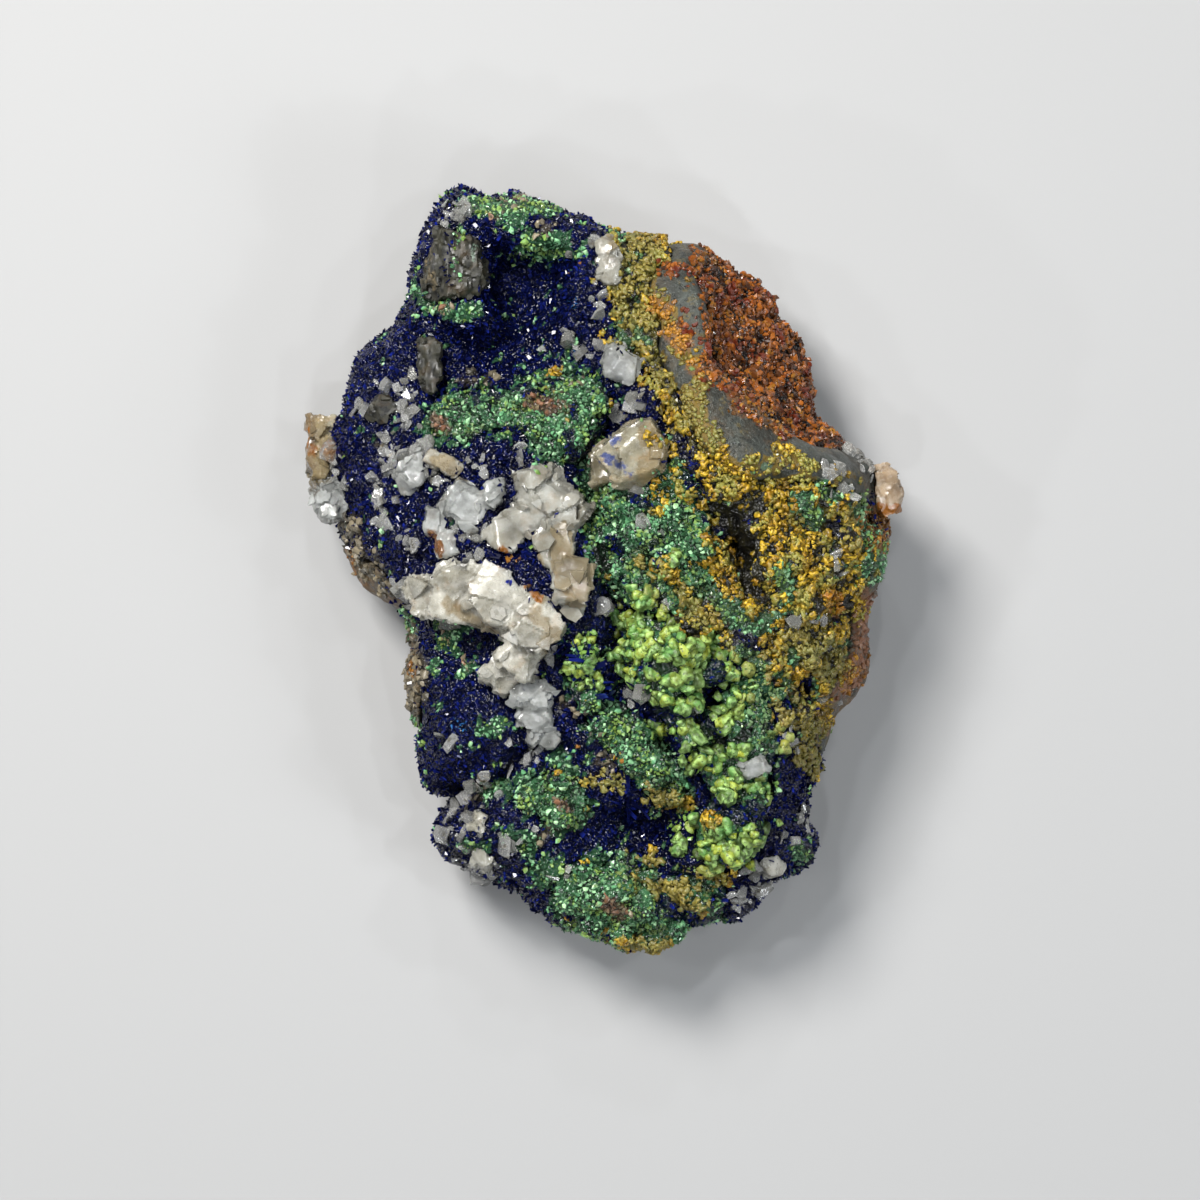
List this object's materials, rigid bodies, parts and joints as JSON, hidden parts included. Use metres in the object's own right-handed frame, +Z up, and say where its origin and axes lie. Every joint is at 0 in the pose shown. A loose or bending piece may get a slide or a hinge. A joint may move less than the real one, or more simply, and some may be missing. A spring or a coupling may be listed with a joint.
{
  "type": "azurite specimen",
  "caption": "Natural mineral specimen lying on its broken back: azurite crust with malachite, limonite and pale calcite crystals on host rock.",
  "frame": {"origin": "middle of the resting flat on the specimen's broken back, at z = 0", "axes": "+Z up out of the crystal side, +Y along the specimen towards its hollow end, +X to the side with the iron-stained face"},
  "size_m": [0.0712, 0.0899, 0.0349],
  "materials": {
    "host_rock": "rough grey-green rock with iron stains",
    "azurite": "deep blue glassy crystal crust",
    "malachite": "granular green",
    "limonite": "earthy ochre",
    "goethite": "granular rust brown",
    "milky": "milky translucent crystal",
    "clear": "greyish translucent crystal",
    "stained": "iron-stained translucent crystal",
    "smoky": "smoky grey crystal"
  },
  "bodies": {
    "root": {"host_rock": "host_rock", "azurite_crust": "azurite", "limonite_crust": "limonite", "goethite_crust": "goethite", "malachite_band": "malachite", "malachite_stripe": "malachite", "malachite_strand": "malachite", "malachite_buttons": "malachite", "malachite_foot": "malachite", "malachite_knot": "malachite", "calcite_spar_mass": "milky", "calcite_spar_fan": "milky", "calcite_plate": "clear", "calcite_small_plate": "clear", "calcite_long_blade": "clear", "calcite_block_left": "clear", "calcite_chip_left": "smoky", "smoky_quartz_stack": "clear", "tan_spar_block": "stained", "white_spar_wedge": "milky", "right_spar_block": "stained", "left_edge_spar": "stained", "left_lower_spar": "clear", "vug_quartz_nodule": "smoky", "fin_crystal": "smoky", "far_edge_quartz": "milky", "lower_right_quartz": "clear", "white_chip": "milky", "lobe_quartz": "clear", "lobe_spar": "clear"}
  },
  "joints": []
}
